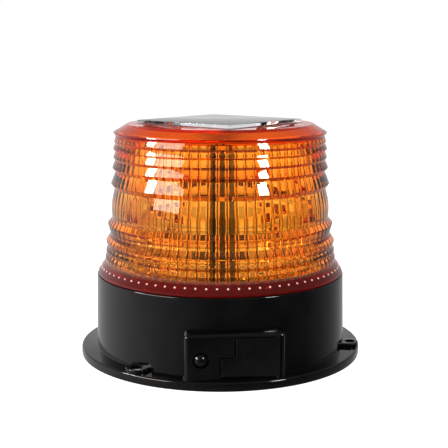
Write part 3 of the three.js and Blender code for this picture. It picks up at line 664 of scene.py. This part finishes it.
def build_housing():
    shell = lathe("housing_shell", housing_profile(), FINE, closed=True)
    combine(shell, [switch_box()] + [lug(a) for a in LUG_ANGLES], "UNION")
    x0, x1, z0, z1, floor = POCKET
    chamber_left, chamber_right = BUTTON_X - CHAMBER_HALF_WIDTH, BUTTON_X + CHAMBER_HALF_WIDTH
    cutters = [
        bar_along_y("button_hole", BUTTON_HOLE_R, BUTTON_X, CONTROL_Z, -PAST, -50),
        box_mesh("chamber", (chamber_left, BOX_FRONT + CHAMBER_WALL, CHAMBER_Z[0]),
                 (chamber_right, -50, CHAMBER_Z[1])),
        hatch_recess(),
        box_mesh("pocket", (x0, -PAST, z0), (x1, floor - 0.01, z1)),
    ]
    foot, top = PIN_HOLE_Z
    pin = lathe("pin_hole", [(0, foot), (PIN_HOLE_R, foot), (PIN_HOLE_R, top), (0, top)], 24)
    cutters.append(shift(pin, PIN_X, PIN_Y))
    for angle in LUG_ANGLES:
        hole = lathe("lug_hole", [(0, -1), (LUG_HOLE_R, -1), (LUG_HOLE_R, 7), (0, 7)], 48)
        cutters.append(turn(shift(hole, LUG_HOLE_AT), angle))
    combine(shell, cutters)
    wall = box_mesh("socket_wall", (1, -57.9, 5), (19, -54.4, 22))
    combine(shell, [wall], "UNION")
    width, height = PORT_HALF
    mouth = box_mesh("mouth", (PORT_X - width, -PAST, CONTROL_Z - height),
                     (PORT_X + width, -50, CONTROL_Z + height))
    combine(shell, [mouth])
    combine(shell, [screw_boss(a) for a in SCREW_ANGLES], "UNION")
    finish_piece(shell, MATERIALS["housing"], BASE, ["housing"], 28)


# ---- Lens ----------------------------------------------------------------------------

def tooth(r_root, z_root, r_lip, z_lip):
    """One sloping step of the lens wall, very slightly bulged."""
    points = []
    for i in range(TOOTH_STEPS + 1):
        t = i / TOOTH_STEPS
        bulge = TOOTH_BULGE * math.sin(math.pi * t)
        points.append((r_root + (r_lip - r_root) * t + bulge, z_root + (z_lip - z_root) * t))
    return points


def lens_outside():
    """The lens's outer outline from the seat up to the middle of the top."""
    foot = LENS_FOOT_R
    points = [(57.2, 39.95), (foot - 0.15, 39.95), (foot, 40.1), (foot, 40.9), (59.3, 41.2)]
    points += [(57.9, 43.2), (56.1, 45.9)]
    lower = [(56.1, 48.0, 54.9, 49.7), (55.65, 51.4, 54.5, 52.9), (55.5, 55.9, 54.0, 58.2)]
    for r_lip, z_lip, r_root, z_root in lower:
        points += [(r_lip, z_lip - 0.9), (r_lip, z_lip)]
        points += [(r_root, z_root)]
    points += [(53.4, 59.0), (53.35, 59.6), (54.0, 61.6), (54.55, 63.6), (54.6, 64.2)]
    points += [(52.6, 66.4)]
    points += [(52.5, 67.6), (52.66, 69.2), (52.73, 70.9), (52.68, 72.6), (52.5, 74.3),
               (52.25, 76.0), (51.85, 77.7), (51.45, 79.5), (51.1, 81.1)]
    upper = [(52.75, 83.4, 50.45, 89.1), (52.05, 90.9, 50.65, 94.5), (51.45, 95.8, 50.4, 98.9),
             (51.5, 99.9, 50.5, 102.3), (50.95, 103.5, 50.15, 106.1)]
    for r_lip, z_lip, r_root, z_root in upper:
        points += [(r_lip - 0.12, z_lip - 0.25)] + tooth(r_root, z_root, r_lip, z_lip)[::-1]
    points += [(51.1, 107.2), (51.35, 107.5), (51.2, 107.9), (45.7, 111.15)]
    points += [(45.2, 111.5), (44.8, LENS_TOP), (0, LENS_TOP)]
    return points


def lens_wall_inside(z):
    """Radius of the lens's inner wall, under the ribs, at a height."""
    stops = [(46, 53.7), (55, 52.7), (59, 51.6), (66, 50.9), (74, 50.5), (90, 48.5), (104.5, 48.0)]
    for (z0, r0), (z1, r1) in zip(stops, stops[1:]):
        if z <= z1:
            return r0 + (r1 - r0) * (z - z0) / (z1 - z0)
    return stops[-1][1]


def rib_steps():
    """Fractions of one pitch at which the inner wall is sampled, and the rib's height there."""
    steps = [(0.0, 0.0)]
    for i in range(RIB_SAMPLES):
        angle = math.pi * i / (RIB_SAMPLES - 1)
        steps.append((0.5 - RIB_SHARE / 2 * math.cos(angle), RIB_HEIGHT * math.sin(angle)))
    return steps


def rib_fade(angle):
    """The ribs are tall at the front and the back and nearly flat at the sides."""
    share = (abs(math.sin(angle)) - FADE_FROM) / FADE_OVER
    share = min(max(share, 0.0), 1.0)
    return SIDE_RIB + (1 - SIDE_RIB) * share * share * (3 - 2 * share)


def lens_inside():
    """(radius, height, share of the rib's height) from the middle of the ceiling to the foot."""
    rows = [(0, 108.2, 0), (40.5, 108.2, 0), (43.4, 108.7, 0), (47.2, 106.3, 0)]
    rows += [(lens_wall_inside(104.9), 104.9, 0), (lens_wall_inside(104.5), 104.5, 1)]
    rows += [(lens_wall_inside(z), z, 1) for z in (90, 74, 66, 59, 55, 50, 46)]
    rows += [(53.9, 44.2, 1), (54.0, 43.8, 0), (54.0, 34.2, 0), (57.2, 34.2, 0)]
    return rows


def build_lens():
    """One closed skin: stepped outside, ribbed inside, with a square seat for the solar panel."""
    samples = rib_steps()
    angles = [(k + t) * 2 * math.pi / RIB_COUNT for k in range(RIB_COUNT) for t, _ in samples]
    full_heights = [h for _ in range(RIB_COUNT) for _, h in samples]
    heights = [h * rib_fade(angle) for h, angle in zip(full_heights, angles)]
    steps = len(angles)
    rows = [(r, z, 0) for r, z in lens_outside()] + lens_inside()
    vertices, rings = [], []
    for r, z, rib in rows:
        start = len(vertices)
        if r == 0:
            vertices.append((0, 0, z))
            rings.append([start] * steps)
            continue
        for angle, height in zip(angles, heights):
            reach = r - height * rib
            vertices.append((reach * math.cos(angle), reach * math.sin(angle), z))
        rings.append(list(range(start, start + steps)))
    rings.append(rings[0])
    faces = []
    for first, second in zip(rings, rings[1:]):
        if first[0] == first[1] and second[0] == second[1]:
            continue
        for i in range(steps):
            j = (i + 1) % steps
            faces.append(list(dict.fromkeys([first[i], first[j], second[j], second[i]])))
    lens = polygon_mesh("lens_body", vertices, faces)
    seat = prism("recess", rounded_square(RECESS_HALF, RECESS_CORNER, 4), *RECESS_Z)
    combine(lens, [turn(seat, 45)])
    finish_piece(lens, MATERIALS["lens"], BASE, ["lens"], 26)


def build_pips():
    """A row of small round pips on the lens's shoulder, one in line with each rib. Their pale,
    pinkish white is a painted glint: it stands in for the white sparkles of light along the
    shoulder.
    """
    glint_pip = lathe("glint_pip", [(0, -PIP_R)] + arc(0, 0, PIP_R, -60, 60, 4) + [(0, PIP_R)], 12)
    mesh = bmesh.new()
    for i in range(RIB_COUNT):
        turned = glint_pip.data.copy()
        angle = 2 * math.pi * (i + 0.5) / RIB_COUNT
        turned.transform(Matrix.Rotation(angle, 4, "Z") @ Matrix.Translation(Vector(PIP_AT) * MM))
        mesh.from_mesh(turned)
        bpy.data.meshes.remove(turned)
    mesh.to_mesh(glint_pip.data)
    mesh.free()
    finish_piece(glint_pip, MATERIALS["glint_pip"], BASE, sharp=60)


# ---- Solar panel ---------------------------------------------------------------------

def build_solar_cover():
    outline = rounded_square(PANEL_HALF, PANEL_CORNER, 5)
    cover = prism("solar_resin", outline, COVER_LOW.z, PANEL_TOP, PANEL_EDGE, 4)
    turn(cover, 45)
    finish_piece(cover, MATERIALS["resin"], BASE, ["solar_cover"])


# ---- Reflector and diodes ------------------------------------------------------------

def build_reflector():
    top = [(9.2, 33.8), (35.0, 33.8), (37.2, 34.6), (40.6, 38.0), (44.0, 41.3), (47.5, 43.2),
           (51.0, 44.6), (51.3, 44.4)]
    bottom = [(51.3, 43.3), (47.8, 41.8), (44.6, 40.0), (41.2, 36.6), (37.8, 33.2), (36.4, 32.3),
              (9.0, 32.3), (9.0, 33.6)]
    dish = lathe("reflector_bowl", top + bottom, 180, closed=True)
    finish_piece(dish, MATERIALS["chrome"], BASE, ["reflector_dish"])


def build_led(index):
    """A diode: a square package with a low dome. Each board carries two."""
    name = f"led_{index}"
    low, high = node_box(name)
    board = (index - 1) // 2
    angle = 30 + board * 60
    height = (low.z + high.z) / 2
    body = box_mesh(f"led_package_{index}", (LED_SEAT, -LED_HALF, -LED_HALF),
                    (LED_SEAT + LED_THICK, LED_HALF, LED_HALF), 0.15, 3)
    dome = lathe(f"led_dome_{index}", [(0, 0.5), (1.3, 0.5), (1.3, 0.62), (1.15, 0.75),
                                       (0.8, 0.85), (0, 0.9)], 32)
    turn(dome, 90, "Y")
    shift(dome, LED_SEAT)
    combine(body, [dome], "UNION")
    turn(shift(body, 0, 0, height), angle)
    finish_piece(body, MATERIALS["led"], BASE, [name])


# ---- Controls ------------------------------------------------------------------------

def build_button():
    """The push button: a dome, a flange that stays behind the box's front, and a stem."""
    crown = BUTTON_LOW.y
    front, back = BUTTON_FLANGE
    profile = [(0, crown)]
    for i in range(1, 13):
        angle = i / 12 * math.pi / 2
        profile.append((BUTTON_R * math.sin(angle), crown + BUTTON_CROWN * (1 - math.cos(angle))))
    profile += [(BUTTON_R, front), (BUTTON_FLANGE_R, front), (BUTTON_FLANGE_R, back)]
    profile += [(BUTTON_STEM_R, back), (BUTTON_STEM_R, BUTTON_STEM_END), (0, BUTTON_STEM_END)]
    button = lathe("button_dome", profile, 64)
    turn(button, -90, "X")
    shift(button, BUTTON_X, 0, CONTROL_Z)
    finish_piece(button, MATERIALS["button"], BUTTON, ["button_cap"])


def build_spring():
    """The coil behind the button, with a mesh of its own. On the real lamp it shortens as the
    button goes in.
    """
    steps, sides = 24, 8  # samples for each turn, and round the wire
    front, back = SPRING_LOW.y + SPRING_WIRE_R, SPRING_HIGH.y - SPRING_WIRE_R
    count = SPRING_TURNS * steps + 1
    vertices = []
    for i in range(count):
        angle = 2 * math.pi * i / steps
        y = front + (back - front) * i / (count - 1)
        for k in range(sides):
            around = 2 * math.pi * k / sides
            reach = SPRING_R + SPRING_WIRE_R * math.cos(around)
            vertices.append((BUTTON_X + reach * math.cos(angle),
                             y + SPRING_WIRE_R * math.sin(around),
                             CONTROL_Z + reach * math.sin(angle)))
    faces = [list(range(sides)), [(count - 1) * sides + k for k in reversed(range(sides))]]
    for i in range(count - 1):
        for k in range(sides):
            j = (k + 1) % sides
            faces.append([i * sides + j, i * sides + k, (i + 1) * sides + k, (i + 1) * sides + j])
    coil = polygon_mesh("button_coil", vertices, faces)
    finish_piece(coil, MATERIALS["steel"], BASE, ["button_spring"])
    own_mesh(coil)


def rounded_bar(name, low, high, corner, front, back):
    """A bar along Y with a rounded section. low and high are its (x, z) corners."""
    (x0, z0), (x1, z1) = low, high
    outline = arc(x1 - corner, z0 + corner, corner, -90, 0)
    outline += arc(x1 - corner, z1 - corner, corner, 0, 90)
    outline += arc(x0 + corner, z1 - corner, corner, 90, 180)
    outline += arc(x0 + corner, z0 + corner, corner, 180, 270)
    return turn(prism(name, outline, -back, -front), 90, "X")


def build_socket():
    """The round-ended charging socket with the tongue in its mouth."""
    low, high = SOCKET_LOW, SOCKET_HIGH
    shell = rounded_bar("socket_shell", (low.x, low.z), (high.x, high.z), SOCKET_CORNER, low.y,
                        high.y)
    wall, back = SOCKET_WALL, low.y + SOCKET_DEPTH
    mouth = rounded_bar("mouth", (low.x + wall, low.z + wall), (high.x - wall, high.z - wall),
                        SOCKET_CORNER - wall, low.y - 1, back)
    combine(shell, [mouth])
    finish_piece(shell, MATERIALS["steel"], BASE, ["charging_socket"])
    middle = (low.z + high.z) / 2
    side, inset = TONGUE_INSET
    tongue = box_mesh("socket_tongue", (low.x + side, low.y + inset, middle - TONGUE_HALF),
                      (high.x - side, back, middle + TONGUE_HALF), 0.1, 2)
    finish_piece(tongue, MATERIALS["chip"], BASE)


def build_hatch():
    """The stepped cover with softened edges, and the barrel that turns on the pin."""
    back, front = HATCH_HIGH.y, HATCH_LOW.y
    radius = (back - front) / 2
    left, right = HATCH_LOW.x, PIN_X + 0.6
    foot, top = HATCH_LOW.z, HATCH_HIGH.z
    outline = [(left, foot), (right, foot), (right, top), (HATCH_LEFT, top),
               (HATCH_LEFT, TAB_TOP), (left, TAB_TOP)]
    plate = turn(prism("hatch_plate", outline, -back, -front, HATCH_EDGE, 5), 90, "X")
    barrel = lathe("barrel", [(0, foot), (radius, foot), (radius, top), (0, top)], 64)
    combine(plate, [shift(barrel, PIN_X, (back + front) / 2)], "UNION")
    bore = lathe("bore", [(0, 0), (PIN_HOLE_R, 0), (PIN_HOLE_R, 30), (0, 30)], 24)
    combine(plate, [shift(bore, PIN_X, (back + front) / 2)])
    finish_piece(plate, MATERIALS["hatch"], HATCH, ["port_hatch"])


CAD_LOOKS = {
    "rubber": ["base_gasket", "lens_seal", "hatch_seal"],
    "foam": ["solar_pad", "holder_pad"],
    "steel": ["hatch_pin"]
    + [f"{kind}_screw_{i}" for kind in ("long", "reflector", "board") for i in (1, 2, 3)],
    "backing": ["solar_board"],
    "silicon": [f"solar_cell_{i}" for i in (1, 2, 3, 4)],
    "red": ["solar_lead_positive", "battery_lead_positive"],
    "black_wire": ["solar_lead_negative", "battery_lead_negative"],
    "white": ["switch_plunger"],
    "led_board": [f"led_board_{i}" for i in range(1, 7)],
    "main_board": ["main_board", "side_board"],
    "chip": ["driver_chip", "switch_body"],
    "wrap": ["battery_cell"],
    "housing": ["base_cover", "battery_holder"],
    "tower": ["led_tower", "tower_cap"],
}


def dress_cad_nodes():
    for look, names in CAD_LOOKS.items():
        for name in names:
            node = NODES[name]
            node.data.materials.clear()
            node.data.materials.append(MATERIALS[look])


# ---- Assembly ------------------------------------------------------------------------

bpy.context.scene.view_settings.view_transform = "Standard"
build_camera()
build_world()
build_lights()
build_floor()
dress_cad_nodes()
build_housing()
build_lens()
build_pips()
build_solar_cover()
build_reflector()
for led_index in range(1, 13):
    build_led(led_index)
build_button()
build_spring()
build_socket()
build_hatch()
